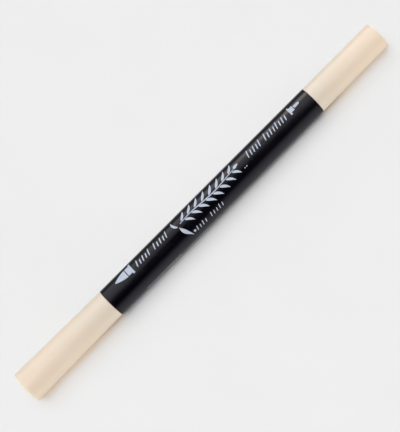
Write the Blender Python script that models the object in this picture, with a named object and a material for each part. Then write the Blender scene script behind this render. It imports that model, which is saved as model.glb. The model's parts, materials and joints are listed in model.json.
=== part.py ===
"""A twin-tip fabric marking pen, in metres, +Z up.

The pen lies along X, level, on its widest cap end. The origin is under the middle of its length, at its lowest
point. The brush nib and its long flared cap are at -X, the bullet nib and its short cap at +X.
Every piece is turned about the pen's axis, from an outline of (distance, radius) points in millimetres. Distances
count outwards from the barrel's end face, where an empty holds the pieces of that end. So each cap's origin is on
the line along which it pulls off.
"""

import math
from typing import NamedTuple

import bmesh
import bpy

MM = 0.001


class End(NamedTuple):
    """One end of the pen: the cap, the holder and the nib. Lengths count from the barrel's end face."""

    cap_length: float
    joint_radius: float  # the outside of the cap's mouth, and of the barrel there
    cap_end_radius: float
    cap_flare: float  # share of the cap's change in radius that gathers towards its end
    neck_length: float  # the stretch that the cap's mouth grips
    seal_end: float  # the land that the cap's liner seals on
    seal_radius: float
    nose_end: float
    nose_base_radius: float
    nose_tip_radius: float
    nib_radius: float
    shank_end: float  # where the nib starts to narrow
    nib_tip: float
    nib_tip_radius: float


PEN_LENGTH = 160.0

BRUSH = End(
    cap_length=38.35,
    joint_radius=5.18,
    cap_end_radius=5.825,
    cap_flare=0.23,
    neck_length=9.0,
    seal_end=12.6,
    seal_radius=3.15,
    nose_end=16.4,
    nose_base_radius=2.75,
    nose_tip_radius=2.4,
    nib_radius=2.0,
    shank_end=17.6,
    nib_tip=25.5,
    nib_tip_radius=0.12,
)
BULLET = End(
    cap_length=29.8,
    joint_radius=4.955,
    cap_end_radius=4.875,
    cap_flare=0.0,
    neck_length=8.0,
    seal_end=10.6,
    seal_radius=2.6,
    nose_end=14.4,
    nose_base_radius=1.8,
    nose_tip_radius=1.5,
    nib_radius=1.0,
    shank_end=17.1,
    nib_tip=18.9,
    nib_tip_radius=0.25,
)

FIT_GAP = 0.05  # between pieces that touch

BARREL_LENGTH = PEN_LENGTH - BRUSH.cap_length - BULLET.cap_length
BARREL_EDGE_CHAMFER = 0.12
BORE_RADIUS = 4.05

CAP_END_FILLET = 0.5
CAP_END_THICKNESS = 1.2
CAP_MOUTH_CHAMFER = 0.08
CAP_MOUTH_RADIUS = 4.32  # inside, for the neck
CAP_STEP_LENGTH = 1.0  # where the inside narrows to grip the liner, at half the cap's length

PLUG_RADIUS = BORE_RADIUS - FIT_GAP
PLUG_LENGTH = 13.0
SOCKET_RADIUS = 3.35  # takes the end of the reservoir, through the plug and most of the neck
WEB_THICKNESS = 2.5  # from the socket's floor to the shoulder
NECK_RADIUS = 4.14
SNAP_BEAD_HEIGHT = 0.12
SNAP_BEAD_HALF_WIDTH = 0.6
SNAP_BEAD_TO_SHOULDER = 3.0
SHOULDER_CHAMFER = 0.5
SEAL_CHAMFER = 0.25

NIB_TAIL = 4.5  # how far the nib reaches back past the socket's floor
NIB_TAIL_CHAMFER = 0.7

RESERVOIR_RADIUS = 3.1
RESERVOIR_CHAMFER = 0.3
RESERVOIR_TO_WEB = 0.5
RECESS_GAP = 0.1  # around a nib's tail, in the reservoir
FILM_INNER_RADIUS = 3.15
FILM_OUTER_RADIUS = 3.28
FILM_TO_WEB = 1.5

LINER_OUTER_RADIUS = 4.1
LINER_INNER_RADIUS = 3.4
LINER_END_THICKNESS = 0.9
LINER_CHAMFER = 0.3
LINER_TO_SHOULDER = 0.3
LINER_THROAT_LENGTH = 2.4
LINER_THROAT_GAP = 0.06

FACETS = 48  # flats around every piece; the middle of each flat is at the outline's radius
FILLET_STEPS = 4
OGIVE_STEPS = 8
FLARE_STEPS = 6
SMOOTH_UNDER = math.radians(30)
WELD = 1e-7

BRUSH_JOINT_X = BRUSH.cap_length - PEN_LENGTH / 2
BULLET_JOINT_X = PEN_LENGTH / 2 - BULLET.cap_length
AXIS_HEIGHT = BRUSH.cap_end_radius


def clear_scene():
    for old in list(bpy.data.objects):
        bpy.data.objects.remove(old, do_unlink=True)


def material(name, colour, roughness, transmission=0.0):
    made = bpy.data.materials.new(name)
    made.use_nodes = True
    shader = made.node_tree.nodes["Principled BSDF"]
    shader.inputs["Base Color"].default_value = (*colour, 1.0)
    shader.inputs["Roughness"].default_value = roughness
    shader.inputs["Metallic"].default_value = 0.0
    shader.inputs["Transmission Weight"].default_value = transmission
    return made


def joint_empty(name, x, heading):
    """A point on the pen's axis in the plane of one end of the barrel, whose own +X points away from it."""
    empty = bpy.data.objects.new(name, None)
    empty.location = (x * MM, 0.0, AXIS_HEIGHT * MM)
    empty.rotation_euler = (0.0, 0.0, heading)
    bpy.context.collection.objects.link(empty)
    return empty


def turned(name, outline, look, parent):
    """Spin an outline about its parent's X axis. It closes on itself, or on the axis if both its ends lie there."""
    shape = bmesh.new()
    half_facet = math.pi / FACETS
    reach = MM / math.cos(half_facet)
    across, up = reach * math.sin(half_facet), reach * math.cos(half_facet)
    points = [shape.verts.new((s * MM, r * across, r * up)) for s, r in outline]
    open_on_axis = outline[0][1] == 0.0 and outline[-1][1] == 0.0
    following = points[1:] if open_on_axis else points[1:] + points[:1]
    for point, next_point in zip(points, following):
        shape.edges.new((point, next_point))
    bmesh.ops.spin(
        shape,
        geom=shape.verts[:] + shape.edges[:],
        cent=(0.0, 0.0, 0.0),
        axis=(1.0, 0.0, 0.0),
        angle=2.0 * math.pi,
        steps=FACETS,
        use_merge=True,
    )
    bmesh.ops.remove_doubles(shape, verts=shape.verts[:], dist=WELD)
    bmesh.ops.recalc_face_normals(shape, faces=shape.faces[:])
    mesh = bpy.data.meshes.new(name)
    shape.to_mesh(mesh)
    shape.free()
    mesh.shade_smooth()
    mesh.set_sharp_from_angle(angle=SMOOTH_UNDER)
    mesh.materials.append(look)
    piece = bpy.data.objects.new(name, mesh)
    piece.parent = parent
    bpy.context.collection.objects.link(piece)


def fillet(end_s, outer_radius, size):
    """A quarter round from an outer wall to the end face at end_s."""
    turns = [0.5 * math.pi * i / FILLET_STEPS for i in range(FILLET_STEPS + 1)]
    return [
        (end_s - size + size * math.sin(turn), outer_radius - size + size * math.cos(turn))
        for turn in turns
    ]


def ogive(start, tip, base_radius, tip_radius):
    """A pointed arch, tangent to the shank at its start and blunt at its tip."""
    length = tip - start
    drop = base_radius - tip_radius
    bend = (drop**2 + length**2) / (2.0 * drop)
    distances = [length * i / OGIVE_STEPS for i in range(OGIVE_STEPS + 1)]
    return [(start + s, math.sqrt(bend**2 - s**2) - bend + base_radius) for s in distances]


def mirrored(outline):
    """The same outline drawn from the barrel's other end."""
    return [(-BARREL_LENGTH - s, r) for s, r in reversed(outline)]


def barrel(look, brush_joint):
    """A tapering tube with a straight bore, drawn inwards from the brush end."""
    edge = BARREL_EDGE_CHAMFER
    outline = [
        (0.0, BORE_RADIUS),
        (0.0, BRUSH.joint_radius - edge),
        (-edge, BRUSH.joint_radius),
        (edge - BARREL_LENGTH, BULLET.joint_radius),
        (-BARREL_LENGTH, BULLET.joint_radius - edge),
        (-BARREL_LENGTH, BORE_RADIUS),
    ]
    turned("barrel", outline, look, brush_joint)


def socket_floor(end):
    """Where the nib holder's web closes its socket, around the nib."""
    return end.neck_length - WEB_THICKNESS


def reservoir_end(end):
    """From the bottom of the hole that the nib's tail fills, out over the end face to the rod's side."""
    face = socket_floor(end) - RESERVOIR_TO_WEB
    bottom = socket_floor(end) - NIB_TAIL - RECESS_GAP
    wall = end.nib_radius + RECESS_GAP
    return [
        (bottom, 0.0),
        (bottom, wall - NIB_TAIL_CHAMFER),
        (bottom + NIB_TAIL_CHAMFER, wall),
        (face, wall),
        (face, RESERVOIR_RADIUS - RESERVOIR_CHAMFER),
        (face - RESERVOIR_CHAMFER, RESERVOIR_RADIUS),
    ]


def ink_reservoir(look, brush_joint):
    turned("ink_reservoir", reservoir_end(BRUSH) + mirrored(reservoir_end(BULLET)), look, brush_joint)


def film_end(end):
    edge = socket_floor(end) - FILM_TO_WEB
    return [(edge, FILM_INNER_RADIUS), (edge, FILM_OUTER_RADIUS)]


def reservoir_film(look, brush_joint):
    turned("reservoir_film", film_end(BRUSH) + mirrored(film_end(BULLET)), look, brush_joint)


def nib_holder(name, end, look, joint):
    """The plug in the barrel, the neck with its snap bead, the seal land and the nose, bored for the nib."""
    bead = end.neck_length - SNAP_BEAD_TO_SHOULDER
    bore = end.nib_radius + FIT_GAP
    outline = [
        (-PLUG_LENGTH, SOCKET_RADIUS),
        (-PLUG_LENGTH, PLUG_RADIUS),
        (FIT_GAP, PLUG_RADIUS),
        (FIT_GAP, NECK_RADIUS),
        (bead - SNAP_BEAD_HALF_WIDTH, NECK_RADIUS),
        (bead, NECK_RADIUS + SNAP_BEAD_HEIGHT),
        (bead + SNAP_BEAD_HALF_WIDTH, NECK_RADIUS),
        (end.neck_length - SHOULDER_CHAMFER, NECK_RADIUS),
        (end.neck_length, NECK_RADIUS - SHOULDER_CHAMFER),
        (end.neck_length, end.seal_radius),
        (end.seal_end - SEAL_CHAMFER, end.seal_radius),
        (end.seal_end, end.seal_radius - SEAL_CHAMFER),
        (end.seal_end, end.nose_base_radius),
        (end.nose_end, end.nose_tip_radius),
        (end.nose_end, bore),
        (socket_floor(end), bore),
        (socket_floor(end), SOCKET_RADIUS),
    ]
    turned(name, outline, look, joint)


def nib(name, end, look, joint):
    tail = socket_floor(end) - NIB_TAIL
    outline = [
        (tail, 0.0),
        (tail, end.nib_radius - NIB_TAIL_CHAMFER),
        (tail + NIB_TAIL_CHAMFER, end.nib_radius),
        *ogive(end.shank_end, end.nib_tip, end.nib_radius, end.nib_tip_radius),
        (end.nib_tip, 0.0),
    ]
    turned(name, outline, look, joint)


def cap_radius(end, s):
    share = s / (end.cap_length - CAP_END_FILLET)
    change = end.cap_end_radius - end.joint_radius
    return end.joint_radius + change * ((1.0 - end.cap_flare) * share + end.cap_flare * share**2)


def cap_shell(name, end, look, joint):
    """A cup, from the middle of its inner floor out over its mouth and back to the middle of its end."""
    edge = CAP_MOUTH_CHAMFER
    floor = end.cap_length - CAP_END_THICKNESS
    grip_radius = LINER_OUTER_RADIUS + FIT_GAP
    step = end.cap_length / 2
    flare = [(end.cap_length - CAP_END_FILLET) * i / FLARE_STEPS for i in range(1, FLARE_STEPS)]
    outline = [
        (floor, 0.0),
        (floor, grip_radius),
        (step, grip_radius),
        (step - CAP_STEP_LENGTH, CAP_MOUTH_RADIUS),
        (FIT_GAP + edge, CAP_MOUTH_RADIUS),
        (FIT_GAP, CAP_MOUTH_RADIUS + edge),
        (FIT_GAP, end.joint_radius - edge),
        (FIT_GAP + edge, cap_radius(end, FIT_GAP + edge)),
        *[(s, cap_radius(end, s)) for s in flare],
        *fillet(end.cap_length, end.cap_end_radius, CAP_END_FILLET),
        (end.cap_length, 0.0),
    ]
    turned(name, outline, look, joint)


def inner_cap(name, end, look, joint):
    """The liner: a narrow throat that seals on the land, then a room around the nib, closed behind its tip."""
    mouth = end.neck_length + LINER_TO_SHOULDER
    throat_end = mouth + LINER_THROAT_LENGTH
    throat = end.seal_radius + LINER_THROAT_GAP
    back = end.cap_length - CAP_END_THICKNESS - FIT_GAP
    floor = back - LINER_END_THICKNESS
    edge = LINER_CHAMFER
    outline = [
        (floor, 0.0),
        (floor, LINER_INNER_RADIUS - edge),
        (floor - edge, LINER_INNER_RADIUS),
        (throat_end + LINER_INNER_RADIUS - throat, LINER_INNER_RADIUS),
        (throat_end, throat),
        (mouth + edge, throat),
        (mouth, throat + edge),
        (mouth, LINER_OUTER_RADIUS - edge),
        (mouth + edge, LINER_OUTER_RADIUS),
        (back - edge, LINER_OUTER_RADIUS),
        (back, LINER_OUTER_RADIUS - edge),
        (back, 0.0),
    ]
    turned(name, outline, look, joint)


def main():
    clear_scene()
    brush_joint = joint_empty("brush_joint", BRUSH_JOINT_X, math.pi)
    bullet_joint = joint_empty("bullet_joint", BULLET_JOINT_X, 0.0)

    barrel(material("barrel_black", (0.006, 0.006, 0.008), 0.28), brush_joint)
    ink_reservoir(material("reservoir_fibre", (0.70, 0.58, 0.44), 0.95), brush_joint)
    film = material("film_clear", (0.88, 0.90, 0.90), 0.15, transmission=0.8)
    reservoir_film(film, brush_joint)

    holder_black = material("holder_black", (0.010, 0.010, 0.012), 0.35)
    inked_fibre = material("inked_fibre", (0.72, 0.58, 0.42), 0.90)
    cap_sand = material("cap_sand", (0.82, 0.70, 0.56), 0.32)
    liner_natural = material("liner_natural", (0.86, 0.84, 0.79), 0.40)
    for side, end, joint in (("brush", BRUSH, brush_joint), ("bullet", BULLET, bullet_joint)):
        nib_holder(f"{side}_nib_holder", end, holder_black, joint)
        nib(f"{side}_nib", end, inked_fibre, joint)
        cap_shell(f"{side}_cap_shell", end, cap_sand, joint)
        inner_cap(f"{side}_inner_cap", end, liner_natural, joint)


main()
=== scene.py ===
"""The looks of a twin-tip fabric marking pen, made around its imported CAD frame.

Metres, +Z up, the pen along X, from its brush cap to its bullet cap.
Each moulded piece is turned again about the pen's axis where the frame has it, finer and with rounded
edges. The barrel's printed marks are thin raised strips of ink. Every surface has a procedural material.
Outlines are in millimetres: distances count outwards from the barrel's end face, and radii from the axis.
"""

import json
import math
from typing import NamedTuple

import bmesh
import bpy
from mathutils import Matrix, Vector, noise

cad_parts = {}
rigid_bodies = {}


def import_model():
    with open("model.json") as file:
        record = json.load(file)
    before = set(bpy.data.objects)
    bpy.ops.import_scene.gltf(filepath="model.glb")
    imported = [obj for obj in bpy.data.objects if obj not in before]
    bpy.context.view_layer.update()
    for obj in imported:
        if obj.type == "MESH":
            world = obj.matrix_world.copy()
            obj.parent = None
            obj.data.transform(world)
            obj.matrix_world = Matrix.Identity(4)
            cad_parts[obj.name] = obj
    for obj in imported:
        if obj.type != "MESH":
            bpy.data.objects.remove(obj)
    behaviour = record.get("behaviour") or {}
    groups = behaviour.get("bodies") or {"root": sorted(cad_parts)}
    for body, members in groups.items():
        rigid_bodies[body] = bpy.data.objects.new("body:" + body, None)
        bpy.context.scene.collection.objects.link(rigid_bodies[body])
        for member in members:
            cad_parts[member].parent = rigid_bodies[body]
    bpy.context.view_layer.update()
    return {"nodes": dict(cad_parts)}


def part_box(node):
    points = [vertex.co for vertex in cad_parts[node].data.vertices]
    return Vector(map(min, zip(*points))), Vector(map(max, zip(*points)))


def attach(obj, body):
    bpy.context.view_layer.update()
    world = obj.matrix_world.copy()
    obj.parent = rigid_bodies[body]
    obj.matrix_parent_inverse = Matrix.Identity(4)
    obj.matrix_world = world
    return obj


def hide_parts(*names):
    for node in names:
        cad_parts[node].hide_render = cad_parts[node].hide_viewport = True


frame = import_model()

MM = 0.001
INSET = 0.002  # mm that the finished skin stays inside the frame's
NEAR = 0.2  # mm along the pen that counts as the same place

PEN = bpy.data.collections.new("pen")
bpy.context.scene.collection.children.link(PEN)

BARREL_LOW, BARREL_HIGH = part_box("barrel")
AXIS_Y = (BARREL_LOW.y + BARREL_HIGH.y) / 2
AXIS_Z = (BARREL_LOW.z + BARREL_HIGH.z) / 2
BARREL_LENGTH = (BARREL_HIGH.x - BARREL_LOW.x) / MM


def radius_near(node, x, within):
    """A CAD node's largest radius, in millimetres, within so many of them of x, which is in metres."""
    points = [v.co for v in frame["nodes"][node].data.vertices]
    return max(point.z - AXIS_Z for point in points if abs(point.x - x) < within * MM) / MM


class End(NamedTuple):
    """One end of the pen. Lengths are in millimetres, and count outwards from the barrel's end face."""

    name: str
    joint_x: float  # metres: where the barrel's end face is
    heading: float  # which way the cap points along X, 1 or -1
    cap_flare: float  # share of the cap's change in radius that gathers towards its end
    neck_length: float
    seal_end: float
    seal_radius: float
    nose_base_radius: float
    nose_tip_radius: float
    shank_end: float  # where the nib starts to narrow
    nib_tip_radius: float

    def node(self, part):
        return f"{self.name}_{part}"

    def reach(self, part):
        """How far out a node of this end goes."""
        low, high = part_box(self.node(part))
        tip = high.x if self.heading > 0 else low.x
        return abs(tip - self.joint_x) / MM

    def radius(self, part):
        """The largest radius of a node of this end."""
        low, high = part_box(self.node(part))
        return (high.z - low.z) / 2 / MM


BRUSH = End(
    name="brush",
    joint_x=BARREL_LOW.x,
    heading=-1.0,
    cap_flare=0.23,
    neck_length=9.0,
    seal_end=12.6,
    seal_radius=3.15,
    nose_base_radius=2.75,
    nose_tip_radius=2.4,
    shank_end=17.6,
    nib_tip_radius=0.12,
)
BULLET = End(
    name="bullet",
    joint_x=BARREL_HIGH.x,
    heading=1.0,
    cap_flare=0.0,
    neck_length=8.0,
    seal_end=10.6,
    seal_radius=2.6,
    nose_base_radius=1.8,
    nose_tip_radius=1.5,
    shank_end=17.1,
    nib_tip_radius=0.25,
)

BRUSH_JOINT_RADIUS = radius_near("barrel", BRUSH.joint_x, NEAR)
BULLET_JOINT_RADIUS = radius_near("barrel", BULLET.joint_x, NEAR)


# Outlines and turning

SEGMENTS = 160  # around every turned piece
LONGEST_STEP = 1.4  # mm between rings on straight stretches
ON_AXIS = 1e-4  # mm: a ring smaller than this is one point
SHARP_OVER = math.radians(38)
FILLET_STEPS = 5
FILLET_ROOM = 0.47  # share of the shorter side beside a corner that its fillet may take up
STRAIGHT = 1.56  # radians: a corner whose half angle is over this gets no fillet
SMALLEST_FILLET = 1e-5  # mm along each side
SUPPORT = 0.06  # mm from a fillet to the ring that keeps its neighbour flat
SUPPORTED_SIDE = 6 * SUPPORT  # mm: only a longer side gets such a ring
SMOOTH = 30.0  # mm: a fillet this large takes all the room there is, as points along a curve want


def rounded(corners, closed=True):
    """An outline with an arc at each corner, given as (distance, radius, fillet).

    An open outline starts and ends as given.
    """
    outline = []
    count = len(corners)
    for i, (s, r, fillet) in enumerate(corners):
        here = Vector((s, r))
        if not closed and i in (0, count - 1):
            outline.append(here)
            continue
        before = Vector(corners[i - 1][:2]) - here
        after = Vector(corners[(i + 1) % count][:2]) - here
        back, ahead = before.normalized(), after.normalized()
        half_angle = before.angle(after) / 2
        room = FILLET_ROOM * min(before.length, after.length)
        tangent = min(fillet / math.tan(half_angle), room) if half_angle < STRAIGHT else 0.0
        if tangent < SMALLEST_FILLET:
            outline.append(here)
            continue
        radius = tangent * math.tan(half_angle)
        centre = here + (back + ahead).normalized() * radius / math.sin(half_angle)
        first = here + back * tangent - centre
        last = here + ahead * tangent - centre
        if before.length > SUPPORTED_SIDE + tangent:
            outline.append(here + back * (tangent + SUPPORT))
        sweep = first.angle_signed(last)
        for step in range(FILLET_STEPS + 1):
            turn = sweep * step / FILLET_STEPS
            cos, sin = math.cos(turn), math.sin(turn)
            spoke = Vector((first.x * cos + first.y * sin, first.y * cos - first.x * sin))
            outline.append(centre + spoke)
        if after.length > SUPPORTED_SIDE + tangent:
            outline.append(here + ahead * (tangent + SUPPORT))
    return outline


def stepped(outline, closed=True):
    """The outline with rings added, so that none are further apart than LONGEST_STEP."""
    finer = []
    following = outline[1:] + outline[:1] if closed else outline[1:]
    for start, stop in zip(outline, following):
        pieces = max(1, math.ceil((stop - start).length / LONGEST_STEP))
        finer += [start.lerp(stop, i / pieces) for i in range(pieces)]
    return finer if closed else finer + [outline[-1]]


def finished(name, shape, look, body, slot, *stands_for):
    """Makes a bmesh into a piece that rides on a body and replaces the CAD nodes it stands for."""
    bmesh.ops.recalc_face_normals(shape, faces=shape.faces[:])
    mesh = bpy.data.meshes.new(name)
    shape.to_mesh(mesh)
    shape.free()
    mesh.shade_smooth()
    mesh.set_sharp_from_angle(angle=SHARP_OVER)
    mesh.materials.append(look)
    piece = bpy.data.objects.new(name, mesh)
    PEN.objects.link(piece)
    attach(piece, body)
    if stands_for:
        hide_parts(*stands_for)


def around_axis(x, turn, reach):
    """A point that many metres from the pen's axis. The turn starts at the top and goes towards +Y."""
    return (x, AXIS_Y + reach * math.sin(turn), AXIS_Z + reach * math.cos(turn))


def turned(end, corners, closed=True, relief=None):
    """A bmesh turned about the pen's axis. relief(s, r, turn) is what the radius gains there, in mm."""
    shape = bmesh.new()
    rings = []
    for s, r in stepped(rounded(corners, closed), closed):
        x = end.joint_x + end.heading * s * MM
        if r < ON_AXIS:
            rings.append([shape.verts.new(around_axis(x, 0.0, 0.0))])
            continue
        ring = []
        for step in range(SEGMENTS):
            turn = 2.0 * math.pi * step / SEGMENTS
            gain = relief(s, r, turn) if relief else 0.0
            ring.append(shape.verts.new(around_axis(x, turn, (r + gain) * MM)))
        rings.append(ring)
    following = rings[1:] + rings[:1] if closed else rings[1:]
    for ring, next_ring in zip(rings, following):
        for i in range(SEGMENTS):
            j = (i + 1) % SEGMENTS
            around = [ring[i % len(ring)], ring[j % len(ring)], next_ring[j % len(next_ring)]]
            around.append(next_ring[i % len(next_ring)])
            shape.faces.new(list(dict.fromkeys(around)))
    return shape


# Materials

MIX_SHARE, MIX_FIRST, MIX_SECOND, MIXED = 0, 6, 7, 2  # a Mix node's sockets for colours


def feed(tree, socket, value):
    """Links a socket to another one, or sets it to a plain value."""
    if isinstance(value, bpy.types.NodeSocket):
        tree.links.new(value, socket)
    else:
        socket.default_value = value


def shader_node(tree, kind, inputs=(), **settings):
    """A new node with these settings, its inputs linked or set."""
    made = tree.nodes.new("ShaderNode" + kind)
    for name, value in settings.items():
        setattr(made, name, value)
    for key, value in dict(inputs).items():
        feed(tree, made.inputs[key], value)
    return made


def smooth_range(tree, value, low, high, to_low, to_high):
    """A value from low to high, brought smoothly to the range from to_low to to_high."""
    inputs = {"Value": value, "From Min": low, "From Max": high, "To Min": to_low, "To Max": to_high}
    return shader_node(tree, "MapRange", inputs, interpolation_type="SMOOTHSTEP").outputs["Result"]


class Look:
    """A procedural material: a Principled shader and the nodes that feed it."""

    def __init__(self, name, **values):
        self.material = bpy.data.materials.new(name)
        self.material.use_nodes = True
        self.tree = self.material.node_tree
        self.shader = self.tree.nodes["Principled BSDF"]
        self.normal = None
        for socket, value in values.items():
            self.shader.inputs[socket.replace("_", " ")].default_value = value
        self.place = self.add("TexCoord").outputs["Object"]

    def add(self, kind, inputs=(), **settings):
        return shader_node(self.tree, kind, inputs, **settings)

    def noise(self, x, y, z, detail=3.0, roughness=0.55):
        """Soft noise, with so many of its features to a millimetre along each axis."""
        scale = (x / MM, y / MM, z / MM)
        spot = self.add("Mapping", {"Vector": self.place, "Scale": scale}).outputs["Vector"]
        inputs = {"Vector": spot, "Scale": 1.0, "Detail": detail, "Roughness": roughness}
        return self.add("TexNoise", inputs).outputs["Fac"]

    def ranged(self, value, low, high, to_low=0.0, to_high=1.0):
        return smooth_range(self.tree, value, low, high, to_low, to_high)

    def along(self, start_x, stop_x):
        """0 at start_x and 1 at stop_x, both in metres, and smooth in between."""
        x = self.add("SeparateXYZ", {"Vector": self.place}).outputs["X"]
        if start_x > stop_x:
            return self.ranged(x, stop_x, start_x, 1.0, 0.0)
        return self.ranged(x, start_x, stop_x)

    def blended(self, share, first, second):
        """The first colour where the share is 0, the second where it is 1."""
        mixer = self.add("Mix", data_type="RGBA")
        feed(self.tree, mixer.inputs[MIX_SHARE], share)
        for key, colour in ((MIX_FIRST, first), (MIX_SECOND, second)):
            opaque = (*colour, 1.0) if isinstance(colour, tuple) else colour
            feed(self.tree, mixer.inputs[key], opaque)
        return mixer.outputs[MIXED]

    def colour(self, value):
        feed(self.tree, self.shader.inputs["Base Color"], value)

    def roughness(self, value):
        feed(self.tree, self.shader.inputs["Roughness"], value)

    def relief(self, height, depth, strength):
        """Bump of so many millimetres, on top of any before it."""
        inputs = {"Height": height, "Distance": depth * MM, "Strength": strength}
        if self.normal:
            inputs["Normal"] = self.normal
        self.normal = self.add("Bump", inputs).outputs["Normal"]
        feed(self.tree, self.shader.inputs["Normal"], self.normal)


CAP_RIM = 1.2  # mm at the closed end that have the rim's colour


def sand_plastic(end):
    """Milky sand-coloured plastic, cloudy and finely grained, with painted shade towards the mouth."""
    look = Look(
        end.node("cap_sand"),
        IOR=1.52,
        Subsurface_Weight=1.0,
        Subsurface_Radius=(1.0, 0.95, 0.90),
        Subsurface_Scale=0.001,
        Coat_Weight=0.6,
        Coat_Roughness=0.07,
        Coat_IOR=1.5,
    )
    far_x = end.joint_x + end.heading * end.reach("cap_shell") * MM
    # Painted shade: greyer and darker towards the mouth, where the black neck inside shades the wall.
    mouth_painted_shade_colour, unshaded_far_colour = (0.672, 0.597, 0.500), (0.726, 0.622, 0.505)
    # The closed end, with nothing dark inside it, keeps the warmer unshaded colour.
    body = look.blended(look.along(end.joint_x, far_x), mouth_painted_shade_colour, unshaded_far_colour)
    cloud = look.ranged(look.noise(0.06, 0.3, 0.3), 0.3, 0.7, 0.0, 0.35)
    mottled = look.blended(cloud, body, (0.675, 0.575, 0.465))
    flow = look.ranged(look.noise(0.05, 1.6, 1.6, detail=4.0), 0.45, 0.75, 0.0, 0.12)
    streaked = look.blended(flow, mottled, (0.77, 0.71, 0.63))
    rim_x = far_x - end.heading * CAP_RIM * MM
    look.colour(look.blended(look.along(rim_x, far_x), streaked, (0.70, 0.62, 0.49)))
    look.roughness(look.ranged(look.noise(0.35, 0.9, 0.9), 0.25, 0.75, 0.34, 0.44))
    look.relief(look.noise(0.05, 0.6, 0.6), 0.002, 0.5)
    look.relief(look.noise(7.0, 7.0, 7.0, detail=2.0), 0.004, 0.6)
    return look.material


def gloss_black():
    """Polished black plastic with faint lengthwise draw lines, handling haze and hairline scuffs."""
    look = Look("barrel_black", IOR=1.5)
    haze = look.noise(0.09, 0.35, 0.35, detail=4.0)
    deep, hazy = (0.0008, 0.0007, 0.0019), (0.0016, 0.0014, 0.0029)
    look.colour(look.blended(look.ranged(haze, 0.3, 0.8), deep, hazy))
    smears = look.ranged(haze, 0.35, 0.75, 0.10, 0.17)
    scuffs = look.ranged(look.noise(0.5, 12.0, 12.0, detail=1.0), 0.68, 0.74, 0.0, 0.18)
    look.roughness(look.add("Math", {0: smears, 1: scuffs}, operation="ADD").outputs[0])
    draw_lines = look.noise(0.03, 5.0, 5.0, detail=2.0)
    look.relief(draw_lines, 0.003, 0.5)
    look.relief(look.noise(0.7, 0.7, 0.7, detail=2.0), 0.006, 0.4)
    return look.material


def print_ink():
    """Pale blue-grey screen ink, a little uneven where it lies thin."""
    look = Look("print_ink", IOR=1.48)
    thin = look.ranged(look.noise(2.2, 2.2, 2.2, detail=4.0), 0.35, 0.7)
    look.colour(look.blended(thin, (0.435, 0.475, 0.565), (0.355, 0.40, 0.49)))
    look.roughness(look.ranged(look.noise(5.0, 5.0, 5.0), 0.3, 0.7, 0.38, 0.58))
    look.relief(look.noise(9.0, 9.0, 9.0, detail=2.0), 0.003, 0.5)
    return look.material


def liner_plastic():
    """Natural, slightly milky polyethylene."""
    look = Look(
        "liner_natural",
        IOR=1.5,
        Subsurface_Weight=0.8,
        Subsurface_Radius=(1.0, 0.9, 0.8),
        Subsurface_Scale=0.003,
    )
    cloud = look.ranged(look.noise(0.4, 0.6, 0.6), 0.3, 0.7)
    look.colour(look.blended(cloud, (0.86, 0.84, 0.79), (0.80, 0.77, 0.70)))
    look.roughness(look.ranged(look.noise(1.2, 1.2, 1.2), 0.3, 0.7, 0.32, 0.46))
    look.relief(look.noise(0.3, 4.0, 4.0, detail=2.0), 0.006, 0.5)
    return look.material


def holder_plastic():
    """Moulded black with a light spark-eroded texture and rubbed, smoother patches."""
    look = Look("holder_black", IOR=1.5)
    rub = look.ranged(look.noise(0.5, 0.9, 0.9, detail=4.0), 0.35, 0.75)
    look.colour(look.blended(rub, (0.010, 0.010, 0.012), (0.022, 0.021, 0.023)))
    look.roughness(look.ranged(rub, 0.0, 1.0, 0.42, 0.28))
    look.relief(look.noise(6.0, 6.0, 6.0, detail=3.0), 0.008, 0.6)
    return look.material


def inked_fibre():
    """Bonded fibre soaked with sand-coloured ink: fine strands along the nib, darker where ink pools."""
    look = Look("inked_fibre", IOR=1.4, Subsurface_Weight=0.15, Subsurface_Scale=0.001)
    strands = look.noise(0.5, 9.0, 9.0, detail=5.0, roughness=0.7)
    wet = look.ranged(look.noise(0.5, 0.8, 0.8), 0.35, 0.7, 0.0, 0.6)
    fibre = look.blended(look.ranged(strands, 0.3, 0.7), (0.80, 0.66, 0.49), (0.62, 0.47, 0.32))
    look.colour(look.blended(wet, fibre, (0.66, 0.49, 0.32)))
    look.roughness(look.ranged(wet, 0.0, 0.6, 0.85, 0.55))
    look.relief(strands, 0.05, 0.8)
    look.relief(look.noise(16.0, 22.0, 22.0, detail=2.0), 0.02, 0.6)
    return look.material


def reservoir_fibre():
    """The ink store: a bundle of soft fibres, soaked unevenly."""
    look = Look("reservoir_fibre", IOR=1.4)
    strands = look.noise(0.2, 7.0, 7.0, detail=5.0, roughness=0.7)
    soaked = look.ranged(look.noise(0.08, 0.3, 0.3), 0.3, 0.7)
    fibre = look.blended(look.ranged(strands, 0.3, 0.7), (0.82, 0.72, 0.58), (0.66, 0.52, 0.38))
    look.colour(look.blended(soaked, fibre, (0.62, 0.47, 0.33)))
    look.roughness(look.ranged(strands, 0.3, 0.7, 0.8, 0.98))
    look.relief(strands, 0.08, 0.8)
    return look.material


def film_plastic():
    """Thin clear wrap with faint draw lines."""
    look = Look("film_clear", IOR=1.5, Transmission_Weight=0.85)
    lines = look.noise(0.05, 6.0, 6.0, detail=2.0)
    look.colour(look.blended(look.ranged(lines, 0.3, 0.7), (0.93, 0.95, 0.95), (0.82, 0.86, 0.87)))
    look.roughness(look.ranged(lines, 0.3, 0.7, 0.08, 0.2))
    look.relief(lines, 0.004, 0.5)
    return look.material


# The moulded pieces, in millimetres

BARREL_BORE = 4.05
FIT_GAP = 0.05
BEAD_BACK = 3.0  # from the neck's outer end back to its snap bead, and to the groove in the cap
BEAD_HEIGHT = 0.12
WEB_BACK = 2.5  # from the neck's outer end back to the web that the nib goes through


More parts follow.
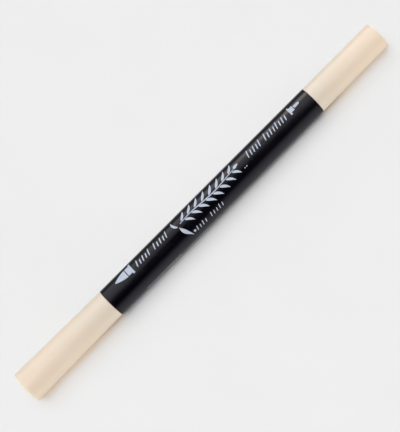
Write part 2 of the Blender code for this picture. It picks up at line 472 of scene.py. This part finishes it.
def barrel(look):
    """A tapering tube with a straight bore."""
    corners = [
        (0.0, BARREL_BORE, 0.06),
        (0.0, BRUSH_JOINT_RADIUS, 0.12),
        (-BARREL_LENGTH, BULLET_JOINT_RADIUS, 0.12),
        (-BARREL_LENGTH, BARREL_BORE, 0.06),
    ]
    finished("barrel_tube", turned(BRUSH, corners), look, "barrel_body", "barrel", "barrel")


CAP_INSIDE = 4.32  # radius near the mouth
CAP_GRIP = 4.15  # radius where the cap holds its liner
CAP_END_WALL = 1.2
CAP_STEP = 1.0  # along which the inside narrows from the one to the other
CAP_END_FILLET = 0.5
CAP_FLARE_STEPS = 10
GROOVE_HALF = 0.7
GATE_RECESS_RADIUS = 1.15
GATE_RECESS_DEPTH = 0.25
GATE_STUB_RADIUS = 0.42
GRIP_RIBS = 6
GRIP_RIB_HEIGHT = 0.04
GRIP_RIB_SHARPNESS = 8
GRIP_RIB_START = 0.8  # from the barrel's end face
GRIP_RIB_FADE = 1.2


def cap_side(end, joint_radius, end_radius):
    """The cap's flaring side as corners, from just past its mouth to where its end fillet begins."""
    length = end.reach("cap_shell") - CAP_END_FILLET
    side = []
    for i in range(1, CAP_FLARE_STEPS + 1):
        share = i / CAP_FLARE_STEPS
        change = (1.0 - end.cap_flare) * share + end.cap_flare * share**2
        fillet = SMOOTH if i < CAP_FLARE_STEPS else 1.0
        side.append((length * share, joint_radius + (end_radius - joint_radius) * change - INSET, fillet))
    return side


def cap_shell(end, look, joint_radius):
    """The outer cap: a cup with a gate mark in its end, a snap groove and grip ribs inside its mouth."""
    length = end.reach("cap_shell") - INSET
    far_x = end.joint_x + end.heading * length * MM
    end_radius = radius_near(end.node("cap_shell"), far_x, CAP_END_FILLET + NEAR)
    mouth = FIT_GAP
    bottom = length - CAP_END_WALL
    step = end.reach("cap_shell") / 2
    groove = end.neck_length - BEAD_BACK
    recess = length - GATE_RECESS_DEPTH

    def ribs(s, r, turn):
        """Low ribs along the inside of the mouth, fading out at both ends."""
        if r > CAP_INSIDE + 0.01 or s > end.neck_length:
            return 0.0
        rise = min(1.0, max(0.0, (s - GRIP_RIB_START) / GRIP_RIB_FADE))
        fall = min(1.0, (end.neck_length - s) / GRIP_RIB_FADE)
        return -GRIP_RIB_HEIGHT * rise * fall * max(0.0, math.cos(GRIP_RIBS * turn)) ** GRIP_RIB_SHARPNESS

    corners = [
        (bottom, 0.0, 0.0),
        (bottom, CAP_GRIP, 0.25),
        (step, CAP_GRIP, 0.3),
        (step - CAP_STEP, CAP_INSIDE, 0.3),
        (groove + GROOVE_HALF, CAP_INSIDE, 0.2),
        (groove, CAP_INSIDE + BEAD_HEIGHT, 0.3),
        (groove - GROOVE_HALF, CAP_INSIDE, 0.2),
        (mouth, CAP_INSIDE, 0.12),
        (mouth, joint_radius - INSET, 0.09),
        *cap_side(end, joint_radius, end_radius),
        (length, end_radius - INSET, CAP_END_FILLET),
        (length, GATE_RECESS_RADIUS, 0.06),
        (recess, GATE_RECESS_RADIUS - 0.12, 0.06),
        (recess, GATE_STUB_RADIUS, 0.04),
        (length - 0.08, GATE_STUB_RADIUS - 0.05, 0.04),
        (length - 0.05, 0.0, 0.0),
    ]
    shape = turned(end, corners, closed=False, relief=ribs)
    finished(end.node("cap_moulding"), shape, look, end.node("cap"), "cap", end.node("cap_shell"))


THROAT_GAP = 0.06  # between the liner's throat and the seal land inside it
THROAT_LENGTH = 2.4
LINER_ROOM = 3.4  # radius of the room round the nib
LINER_END_WALL = 0.9


def inner_cap(end, look):
    """The liner: a throat that seals round the nib holder, and a room beyond it for the nib."""
    mouth = end.neck_length + 0.3
    throat_end = mouth + THROAT_LENGTH
    throat = end.seal_radius + THROAT_GAP
    outside = end.radius("inner_cap") - INSET
    back = end.reach("inner_cap")
    bottom = back - LINER_END_WALL
    corners = [
        (bottom, 0.0, 0.0),
        (bottom, LINER_ROOM, 0.5),
        (throat_end + LINER_ROOM - throat, LINER_ROOM, 0.4),
        (throat_end, throat, 0.3),
        (mouth, throat, 0.4),
        (mouth, outside, 0.3),
        (back, outside, 0.35),
        (back, 0.0, 0.0),
    ]
    shape = turned(end, corners, closed=False)
    finished(end.node("cap_liner"), shape, look, end.node("cap"), "inner_cap", end.node("inner_cap"))


PLUG_LENGTH = 13.0
PLUG_RADIUS = 4.0
SOCKET_RADIUS = 3.35
BEAD_HALF = 0.6
NECK_CHAMFER = 0.5
LINE_DEPTH = 0.05  # of the fine line round the seal land
VENTS = 4
VENT_DEPTH = 0.16
VENT_SHARPNESS = 24


def nib_holder(end, look):
    """The plug, the neck with its snap bead, the seal land and the nose with air vents beside the nib."""
    neck = end.radius("nib_holder") - BEAD_HEIGHT
    bore = end.radius("nib") + FIT_GAP
    nose_end = end.reach("nib_holder")
    bead = end.neck_length - BEAD_BACK
    web = end.neck_length - WEB_BACK
    line = end.seal_radius - LINE_DEPTH

    def vents(s, r, turn):
        """Narrow channels in the nose's bore, which open beside the nib."""
        if r > bore + 0.06 or s <= end.neck_length:
            return 0.0
        return VENT_DEPTH * (math.cos(VENTS * turn / 2.0) ** 2) ** VENT_SHARPNESS

    corners = [
        (-PLUG_LENGTH, SOCKET_RADIUS, 0.1),
        (-PLUG_LENGTH, PLUG_RADIUS, 0.2),
        (FIT_GAP, PLUG_RADIUS, 0.0),
        (FIT_GAP, neck, 0.05),
        (bead - BEAD_HALF, neck, 0.3),
        (bead, neck + BEAD_HEIGHT, 0.4),
        (bead + BEAD_HALF, neck, 0.3),
        (end.neck_length - NECK_CHAMFER, neck, 0.2),
        (end.neck_length, neck - NECK_CHAMFER, 0.2),
        (end.neck_length, end.seal_radius, 0.15),
        (end.seal_end - 1.1, end.seal_radius, 0.1),
        (end.seal_end - 1.0, line, 0.1),
        (end.seal_end - 0.8, line, 0.1),
        (end.seal_end - 0.7, end.seal_radius, 0.1),
        (end.seal_end, end.seal_radius, 0.25),
        (end.seal_end, end.nose_base_radius, 0.12),
        (nose_end, end.nose_tip_radius, 0.14),
        (nose_end, bore, 0.06),
        (web, bore, 0.05),
        (web, SOCKET_RADIUS, 0.1),
    ]
    shape = turned(end, corners, relief=vents)
    finished(end.node("tip_holder"), shape, look, "barrel_body", "nib_holder", end.node("nib_holder"))


NIB_TAIL = 4.5  # how far the nib reaches back past the web, into the reservoir
NIB_TAIL_TAPER = 0.7
FIBRE_RELIEF = 0.018
STRANDS_ROUND = 9.0  # noise features in a radian round the nib
STRANDS_ALONG = 0.25  # noise features in a millimetre along it
ARCH_STEPS = 16


def nib(end, look):
    """A pointed arch of bonded fibre on a straight shank, its strands standing a little proud."""
    radius = end.radius("nib") - FIBRE_RELIEF
    tip = end.reach("nib") - INSET
    tail = end.neck_length - WEB_BACK - NIB_TAIL
    drop = radius - end.nib_tip_radius
    length = tip - end.shank_end
    bend = (drop**2 + length**2) / (2.0 * drop)
    arch = []
    for i in range(ARCH_STEPS):
        s = length * i / ARCH_STEPS
        arch.append((end.shank_end + s, math.sqrt(bend**2 - s**2) - bend + radius, SMOOTH))

    def strands(s, r, turn):
        spot = Vector((STRANDS_ROUND * math.sin(turn), STRANDS_ROUND * math.cos(turn), STRANDS_ALONG * s))
        return FIBRE_RELIEF * noise.noise(spot) * min(1.0, r / radius) ** 2

    corners = [
        (tail, 0.0, 0.0),
        (tail, radius - NIB_TAIL_TAPER, 0.2),
        (tail + NIB_TAIL_TAPER, radius, 0.3),
        *arch,
        (tip, end.nib_tip_radius, 0.5 * end.nib_tip_radius),
        (tip, 0.0, 0.0),
    ]
    shape = turned(end, corners, closed=False, relief=strands)
    finished(end.node("tip_fibre"), shape, look, "barrel_body", "nib", end.node("nib"))


# The print on the barrel. Its places are (x, arc) in millimetres: x along the pen from the origin, and
# arc round the barrel from its top towards +Y

INK_HEIGHT = 0.016
INK_EDGE = 0.75  # share of that height along a stroke's edges
INK_ROOT = 0.03  # how far the ink reaches into the barrel's skin
WIDEST_CELL = 0.28  # across a stroke, so that it follows the barrel's curve
FEWEST_CELLS = 4
THINNEST = 0.02  # on each side of a stroke's line


def on_barrel(x, arc, height):
    """The point that many millimetres above the barrel's skin, or below it."""
    share = (x - BRUSH.joint_x / MM) / BARREL_LENGTH
    radius = BRUSH_JOINT_RADIUS + (BULLET_JOINT_RADIUS - BRUSH_JOINT_RADIUS) * share
    return around_axis(x * MM, arc / radius, (radius + height) * MM)


def stroke(shape, line, half_widths):
    """Adds one closed strip of ink along a line of places, reaching so far to each side of every one."""
    rows = []
    points = [Vector(spot) for spot in line]
    across = max(FEWEST_CELLS, math.ceil(2.0 * max(half_widths) / WIDEST_CELL))
    for i, point in enumerate(points):
        heading = (points[min(i + 1, len(points) - 1)] - points[max(i - 1, 0)]).normalized()
        side = Vector((-heading.y, heading.x)) * max(half_widths[i], THINNEST)
        tops, roots = [], []
        for k in range(across + 1):
            spot = point + side * (2.0 * k / across - 1.0)
            height = INK_HEIGHT * (INK_EDGE if k in (0, across) else 1.0)
            tops.append(shape.verts.new(on_barrel(spot.x, spot.y, height)))
            roots.append(shape.verts.new(on_barrel(spot.x, spot.y, -INK_ROOT)))
        rows.append(tops + roots[::-1])
    around = 2 * (across + 1)
    for row, next_row in zip(rows, rows[1:]):
        for k in range(around):
            j = (k + 1) % around
            shape.faces.new((row[k], row[j], next_row[j], next_row[k]))
    for row in (rows[0], rows[-1]):
        for k in range(across):
            shape.faces.new((row[k], row[k + 1], row[around - 2 - k], row[around - 1 - k]))


def shares(steps):
    """Even shares of the way from 0 to 1."""
    return [i / steps for i in range(steps + 1)]


def straight(start, stop, steps):
    return [Vector(start).lerp(Vector(stop), share) for share in shares(steps)]


def dash(shape, x, arc, height, half_width, slant):
    """A short slanted stroke with softly rounded ends, centred at (x, arc)."""
    steps = 8
    end_share, growth = 0.55, 2.2
    lean = math.tan(slant) * height / 2
    line = straight((x - lean, arc - height / 2), (x + lean, arc + height / 2), steps)
    from_end = [min(i, steps - i) / steps for i in range(steps + 1)]
    stroke(shape, line, [half_width * min(1.0, end_share + growth * share) for share in from_end])


def dot(shape, x, arc, radius):
    steps = 14
    line = straight((x - radius, arc), (x + radius, arc), steps)
    widths = [radius * math.sqrt(max(0.0, 1.0 - (2.0 * share - 1.0) ** 2)) for share in shares(steps)]
    stroke(shape, line, widths)


def leaf(shape, base, heading, length, half_width, bend):
    """A leaf along heading, curved out sideways by bend. It is widest at two fifths of its length."""
    steps = 14
    way = Vector((math.cos(heading), math.sin(heading)))
    side = Vector((-way.y, way.x))
    line, widths = [], []
    for share in shares(steps):
        bow = bend * 4.0 * share * (1.0 - share)
        line.append(Vector(base) + way * length * share + side * bow)
        widths.append(half_width * math.sin(math.pi * share**0.75) ** 0.85 if 0.0 < share < 1.0 else 0.0)
    stroke(shape, line, widths)


def nib_sign(shape, base, heading, nib_length, nib_half, taper):
    """A nib's outline on its base, pointing along heading. A taper of 0.5 is round, and 1 a point."""
    steps = 14
    x, arc = base
    line = straight(base, (x + heading * nib_length, arc), steps)
    stroke(shape, line, [nib_half * (1.0 - share ** (1.2 / taper)) ** taper for share in shares(steps)])


def block_sign(shape, face, heading, block, block_half, flange, flange_half):
    """The block that the nib sits in, back from its face, with a flange behind it."""
    x, arc = face
    edges = [0.0, block * 0.5, block, block + 0.12, block + flange * 0.6, block + flange]
    halves = [block_half, block_half, block_half, flange_half, flange_half, flange_half * 0.98]
    stroke(shape, [(x - heading * edge, arc) for edge in edges], halves)


def brush_icon(shape):
    nib_sign(shape, (-31.45, 3.6), -1.0, nib_length=4.75, nib_half=1.62, taper=0.8)
    block_sign(shape, (-31.15, 3.6), -1.0, block=1.55, block_half=1.58, flange=0.75, flange_half=2.15)


def bullet_icon(shape):
    nib_sign(shape, (43.95, 2.95), 1.0, nib_length=2.35, nib_half=0.52, taper=0.35)
    block_sign(shape, (43.67, 2.95), 1.0, block=1.3, block_half=0.95, flange=0.65, flange_half=1.62)


def dash_row(shape, start_x, stop_x, arc, height, pattern, half_width=0.2, slant=0.3):
    """Slanted stitches, evenly spaced on one foot line. The pattern gives their shares of the height."""
    pitch = (stop_x - start_x) / (len(pattern) - 1)
    for i, share in enumerate(pattern):
        if share:
            tall = height * share
            dash(shape, start_x + pitch * i, arc - (height - tall) / 2, tall, half_width, slant)


TALL_SHORT = (1.0, 0.72, 0.86, 0.72)
FIRST_GROUP = (*TALL_SHORT, 1.0, 0)


def stitch_rows(shape):
    """The two rows in line with the icons."""
    brush_pattern = (*FIRST_GROUP, *TALL_SHORT, 1.0)
    bullet_pattern = (*FIRST_GROUP, *TALL_SHORT, *TALL_SHORT)
    dash_row(shape, start_x=-26.7, stop_x=-13.7, arc=3.3, height=2.5, pattern=brush_pattern)
    dash_row(shape, start_x=22.9, stop_x=39.7, arc=2.8, height=2.7, pattern=bullet_pattern)


def colour_row(shape):
    """The short row under the sprig, which starts with a dot, and the pair of dots at the sprig's tip."""
    row_arc = -2.9
    pattern = (1.0, 0.8, 1.0, 0.8, 0, 1.0, 0.8, 0.8, 1.0, 0.8)
    dot(shape, x=-6.1, arc=row_arc, radius=0.42)
    dash_row(shape, -4.9, 6.2, row_arc, height=1.75, pattern=pattern, half_width=0.15, slant=0.25)
    for x in (19.3, 20.1):
        dot(shape, x, arc=0.1, radius=0.2)


FINE_START = -29.7
FINE_ROWS = ((-15.0, -6.6), (8.0, -7.5), (6.0, -8.4), (4.0, -9.3))  # where each row stops, and its arc
FINE_PITCH = 0.58
PITCH_GROWTH = 0.04  # from row to row, so that the dashes don't line up


def fine_rows(shape):
    """Rows of fine dashes low on the barrel's side."""
    for row, (stop_x, arc) in enumerate(FINE_ROWS):
        count = round((stop_x - FINE_START) / (FINE_PITCH + PITCH_GROWTH * row))
        dash_row(shape, FINE_START, stop_x, arc, height=0.58, pattern=(1.0,) * count, half_width=0.09)


SPRIG_START, SPRIG_END, SPRIG_ARC = -8.0, 16.2, 2.15
STEM_SWAY = 0.35
STEM_WAVE = 7.0  # radians of its wave from start to end
LEAF_PAIRS = 8
LEAF_BASE = 0.34  # from the stem's line to the foot of a leaf
LEAF_AHEAD = 0.22  # from its place on the stem to that foot, along the pen


def stem(share):
    """The place that share of the way along the sprig's swaying stem."""
    x = SPRIG_START + (SPRIG_END - SPRIG_START) * share
    return (x, SPRIG_ARC + STEM_SWAY * math.sin(STEM_WAVE * share + 0.4))


def sprig(shape):
    """A brushed sprig: a stem with leaves on both sides and at its tip, and a curling root with one."""
    along_stem = shares(60)
    half_widths = [0.11 + 0.07 * math.sin(math.pi * share) for share in along_stem]
    stroke(shape, [stem(share) for share in along_stem], half_widths)
    for i in range(LEAF_PAIRS):
        share = (i + 0.2) / LEAF_PAIRS
        size = 0.84 + 0.16 * math.sin(math.pi * (0.15 + 0.8 * share))
        x, arc = stem(share)
        upper = (x + LEAF_AHEAD, arc + LEAF_BASE)
        leaf(shape, upper, math.radians(50), length=3.9 * size, half_width=0.48 * size, bend=-0.34)
        x, arc = stem(share + 0.05)
        lower = (x + LEAF_AHEAD, arc - LEAF_BASE)
        leaf(shape, lower, math.radians(-44), length=3.7 * size, half_width=0.47 * size, bend=0.32)
    x, arc = stem(1.0)
    leaf(shape, (x + 0.15, arc), math.radians(10), length=2.3, half_width=0.55, bend=0.2)
    root, half_widths = [], []
    for share in shares(24):
        root.append((-7.2 - 1.8 * math.sin(math.pi * 0.5 * share) ** 1.3, -3.6 + 5.0 * share))
        half_widths.append(0.09 + 0.55 * math.sin(math.pi * share**1.3) ** 1.2)
    stroke(shape, root, half_widths)
    leaf(shape, (-9.3, 1.9), math.radians(106), length=3.5, half_width=0.42, bend=0.55)


def printed_marks(look):
    """Each kind of mark as one piece of ink."""
    for name, draw in (
        ("print_brush_icon", brush_icon),
        ("print_bullet_icon", bullet_icon),
        ("print_stitch_rows", stitch_rows),
        ("print_colour_row", colour_row),
        ("print_fine_rows", fine_rows),
        ("print_sprig", sprig),
    ):
        shape = bmesh.new()
        draw(shape)
        finished(name, shape, look, "barrel_body", None)


# Floor, light and camera

FLOOR_REACH = 4.0  # metres each way
FLOOR_CUTS = 7


def floor_look():
    """Matt white board with a faint tooth. It is clear from below, so that the pen is seen from there."""
    look = Look("floor_board", IOR=1.3, Specular_IOR_Level=0.1)
    tone = look.ranged(look.noise(0.02, 0.02, 0.02), 0.3, 0.7)
    look.colour(look.blended(tone, (0.80, 0.80, 0.80), (0.785, 0.785, 0.785)))
    look.roughness(look.ranged(look.noise(1.0, 1.0, 1.0), 0.3, 0.7, 0.85, 0.95))
    clear = look.add("BsdfTransparent")
    below = look.add("NewGeometry").outputs["Backfacing"]
    choice = look.add("MixShader", {0: below, 1: look.shader.outputs[0], 2: clear.outputs[0]})
    feed(look.tree, look.tree.nodes["Material Output"].inputs["Surface"], choice.outputs[0])
    return look.material


def floor():
    """A board that slopes a little, to touch both caps' ends: the brush cap's is the wider."""
    brush_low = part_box("brush_cap_shell")[0]
    bullet_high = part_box("bullet_cap_shell")[1]
    bullet_radius = radius_near("bullet_cap_shell", bullet_high.x, CAP_END_FILLET + NEAR) * MM
    rise = AXIS_Z - bullet_radius - brush_low.z
    slope = rise / (bullet_high.x - brush_low.x)
    shape = bmesh.new()
    ends = []
    for x, y in ((-1, -1), (1, -1), (1, 1), (-1, 1)):
        across = x * FLOOR_REACH
        height = brush_low.z + slope * (across - brush_low.x)
        ends.append(shape.verts.new((across, y * FLOOR_REACH, height)))
    shape.faces.new(ends)
    bmesh.ops.subdivide_edges(shape, edges=shape.edges[:], cuts=FLOOR_CUTS, use_grid_fill=True)
    mesh = bpy.data.meshes.new("floor")
    shape.to_mesh(mesh)
    shape.free()
    mesh.materials.append(floor_look())
    board = bpy.data.objects.new("floor", mesh)
    bpy.context.scene.collection.objects.link(board)
    board.visible_glossy = False


FLOOR_LIGHT = 3.46  # all the light that falls on the floor, W/m2
# Each softbox: degrees from overhead towards +Y, degrees across, share of the floor's light, share that
# glows
SOFTBOXES = (
    (2.0, 9.0, 0.135, 0.60),
    (11.0, 20.0, 0.365, 0.72),
    (27.0, 40.0, 0.41, 0.50),
    (52.0, 40.0, 0.075, 0.30),
)
GLOW_COLOUR = (1.0, 0.68, 0.36)
# Each card: degrees from overhead towards +Y, or else towards +X, then degrees across, W/m2 and colour
FILL_CARDS = (
    (-107.0, 0.0, 40.0, 2.3, (1.0, 0.91, 0.79)),
    (-32.0, 0.0, 50.0, 0.45, (1.0, 0.99, 0.98)),
    (118.0, 0.0, 40.0, 0.85, (1.0, 0.99, 0.98)),
    (0.0, -100.0, 20.0, 1.3, (1.0, 0.96, 0.93)),
    (0.0, 100.0, 20.0, 1.3, (1.0, 0.96, 0.93)),
)
MILKY = ("cap_moulding", "cap_liner")
INSIDE_THE_CAPS = ("tip_holder", "tip_fibre")
WIDE_GLOW = 30.0  # degrees across


def softbox(name, lean, swing, spread, energy, colour):
    """A distant disc of light. Highlights come from the surroundings instead, so it has no reflection."""
    light = bpy.data.lights.new(name, "SUN")
    light.angle = math.radians(spread)
    light.energy = energy
    light.color = colour
    holder = bpy.data.objects.new(name, light)
    holder.rotation_euler = (-math.radians(lean), math.radians(swing), 0.0)
    holder.visible_glossy = False
    bpy.context.scene.collection.objects.link(holder)
    return holder


def soft_light():
    """Overlapping softboxes, mostly overhead, and cards on every side that only brighten the pen.

    A share of each softbox is a glow that the milky caps don't stop, so that their shadows are warm and
    light. The glow of the wide ones spreads round the black neck inside a cap as well. The rest of a
    softbox makes up the difference in colour, so that the open floor stays neutral. The caps don't keep
    the surroundings' fill from the floor either.
    """
    stops_narrow = bpy.data.collections.new("stops_a_narrow_glow")
    stops_wide = bpy.data.collections.new("stops_a_wide_glow")
    for piece in PEN.objects:
        if piece.name.endswith(MILKY):
            piece.visible_diffuse = False
            continue
        stops_narrow.objects.link(piece)
        if not piece.name.endswith(INSIDE_THE_CAPS):
            stops_wide.objects.link(piece)
    for i, (lean, spread, share, glow_share) in enumerate(SOFTBOXES):
        energy = FLOOR_LIGHT * share
        rest_colour = [1.0 - glow_share * c for c in GLOW_COLOUR]
        softbox(f"softbox_{i}", lean, 0.0, spread, energy, rest_colour)
        glow = softbox(f"glow_{i}", lean, 0.0, spread, energy * glow_share, GLOW_COLOUR)
        glow.light_linking.blocker_collection = stops_wide if spread > WIDE_GLOW else stops_narrow
    for i, values in enumerate(FILL_CARDS):
        card = softbox(f"fill_card_{i}", *values)
        card.light_linking.receiver_collection = PEN
        card.light_linking.blocker_collection = PEN


# What shiny surfaces mirror. Each profile is a brightness over the angle round the pen, in degrees: 0 is
# overhead, 90 is level towards +Y, and 180 straight down
WALL = ((-180, 0.0), (11, 0.0), (19, 0.02), (28, 0.47), (40, 0.70), (54, 0.95), (66, 1.08), (180, 1.08))
WALL_FOOT = (
    (-180, 1.0),
    (86, 1.0),
    (97, 0.95),
    (106, 0.10),
    (122, 0.10),
    (138, 0.4),
    (150, 0.9),
    (180, 0.9),
)
FAR_SIDE = (
    (-180, 0.2),
    (-150, 0.25),
    (-120, 0.5),
    (-92, 0.62),
    (-74, 0.6),
    (-58, 0.34),
    (-43, 0.02),
    (-30, 0.0),
    (-20, 0.0),
    (180, 0.0),
)
LAMP = ((-180, 0.0), (52, 0.0), (64, 0.15), (78, 1.3), (92, 0.25), (100, 0.0), (180, 0.0))
LAMP_STRENGTH = 4.9
LAMP_START, LAMP_FULL = -6.0, 11.0  # degrees along the pen, over which the lamp brightens
LAMP_FADE, LAMP_FADED = 6.1, 7.8  # and over which it falls to the share that is left
LAMP_LEFT = 0.3
HOOD_BOW = 0.72  # degrees that the wall reaches further up, for each squared degree along the pen
HOOD_MIDDLE = 0.4  # degrees along the pen, where the dark hood over the wall comes furthest down
MOST_BOW = 52.0  # degrees
LAST_ANGLE = 179.0  # degrees: the bowed angle stays short of straight down, where a profile ends
WALL_COLOUR = (0.98, 0.965, 1.06, 1.0)
LAMP_COLOUR = (1.0, 0.93, 0.86, 1.0)
WHITE = (1.0, 1.0, 1.0, 1.0)
BACKDROP = 0.858  # what the camera sees beyond the floor
FILL = 0.09  # what matt surfaces gather from all round


def maths(tree, operation, first, second):
    return shader_node(tree, "Math", {0: first, 1: second}, operation=operation).outputs[0]


def product(tree, first, second):
    return maths(tree, "MULTIPLY", first, second)


def profile(tree, value, stops):
    """A smooth curve that runs near the (degrees, brightness) stops, over the whole circle."""
    turn = maths(tree, "ADD", maths(tree, "DIVIDE", value, 360.0), 0.5)
    curve = shader_node(tree, "ValToRGB", {0: turn})
    curve.color_ramp.interpolation = "B_SPLINE"
    points = curve.color_ramp.elements
    while len(points) < len(stops):
        points.new(0.5)
    for point, (degrees, level) in zip(points, stops):
        point.position = 0.5 + degrees / 360.0
        point.color = (level, level, level, 1.0)
    return curve.outputs[0]


def background(tree, colour, strength):
    return shader_node(tree, "Background", {"Color": colour, "Strength": strength}).outputs[0]


def mirrored_surroundings(tree):
    """A bright wall and a lamp on the +Y side, a dark hood overhead and a pale wall on the far side."""
    way = shader_node(tree, "TexCoord").outputs["Generated"]
    x, y, z = shader_node(tree, "SeparateXYZ", {0: way}).outputs
    to_degrees = 180.0 / math.pi
    lean = product(tree, maths(tree, "ARCTAN2", y, z), to_degrees)
    ahead = product(tree, maths(tree, "ARCSINE", x, 0.0), to_degrees)
    off_middle = maths(tree, "SUBTRACT", ahead, HOOD_MIDDLE)
    bow = product(tree, product(tree, off_middle, off_middle), HOOD_BOW)
    bow = maths(tree, "MINIMUM", bow, MOST_BOW)
    bowed_lean = maths(tree, "MINIMUM", maths(tree, "ADD", lean, bow), LAST_ANGLE)
    wall = product(tree, profile(tree, bowed_lean, WALL), profile(tree, lean, WALL_FOOT))
    walls = maths(tree, "ADD", wall, profile(tree, lean, FAR_SIDE))
    rise = maths(tree, "POWER", smooth_range(tree, ahead, LAMP_START, LAMP_FULL, 0.0, 1.0), 1.5)
    fall = smooth_range(tree, ahead, LAMP_FADE, LAMP_FADED, 1.0, LAMP_LEFT)
    lamp = product(tree, product(tree, rise, fall), profile(tree, lean, LAMP))
    wall_light = background(tree, WALL_COLOUR, walls)
    lamp_light = background(tree, LAMP_COLOUR, product(tree, lamp, LAMP_STRENGTH))
    return shader_node(tree, "AddShader", {0: wall_light, 1: lamp_light}).outputs[0]


def surroundings():
    """A white backdrop for the camera, a little fill, and the walls and the lamp for shiny surfaces."""
    world = bpy.data.worlds.new("studio")
    bpy.context.scene.world = world
    world.use_nodes = True
    world.cycles.sampling_method = "NONE"
    tree = world.node_tree
    path = shader_node(tree, "LightPath")
    first_hand = maths(tree, "LESS_THAN", path.outputs["Diffuse Depth"], 0.5)
    mirror_share = product(tree, path.outputs["Is Glossy Ray"], first_hand)
    fill = background(tree, WHITE, FILL)
    around = {0: mirror_share, 1: fill, 2: mirrored_surroundings(tree)}
    lit = shader_node(tree, "MixShader", around).outputs[0]
    seen = {0: path.outputs["Is Camera Ray"], 1: lit, 2: background(tree, WHITE, BACKDROP)}
    surface = tree.nodes["World Output"].inputs["Surface"]
    feed(tree, surface, shader_node(tree, "MixShader", seen).outputs[0])


CAMERA_ABOVE_AXIS = 0.5176  # metres
CAMERA_SPOT = (-0.00172, -0.00059)  # metres along and across the pen from its middle
CAMERA_LENS = 134.1  # mm
CAMERA_TURN = 45.16  # degrees from the pen's length to the picture's width


def camera():
    """Straight down from over the middle of the pen, turned so that the pen lies across the picture."""
    data = bpy.data.cameras.new("camera")
    data.lens = CAMERA_LENS
    data.clip_start, data.clip_end = 0.01, 20.0
    holder = bpy.data.objects.new("camera", data)
    holder.location = (*CAMERA_SPOT, AXIS_Z + CAMERA_ABOVE_AXIS)
    holder.rotation_euler = (0.0, 0.0, -math.radians(CAMERA_TURN))
    bpy.context.scene.collection.objects.link(holder)
    bpy.context.scene.camera = holder


def main():
    camera()
    holder_look, liner_look, fibre_look = holder_plastic(), liner_plastic(), inked_fibre()
    barrel(gloss_black())
    for end, joint_radius in ((BRUSH, BRUSH_JOINT_RADIUS), (BULLET, BULLET_JOINT_RADIUS)):
        cap_shell(end, sand_plastic(end), joint_radius)
        inner_cap(end, liner_look)
        nib_holder(end, holder_look)
        nib(end, fibre_look)
    printed_marks(print_ink())
    for node, look in (("ink_reservoir", reservoir_fibre()), ("reservoir_film", film_plastic())):
        materials = frame["nodes"][node].data.materials
        materials.clear()
        materials.append(look)
    floor()
    soft_light()
    surroundings()
    bpy.context.scene.view_settings.view_transform = "Standard"


main()
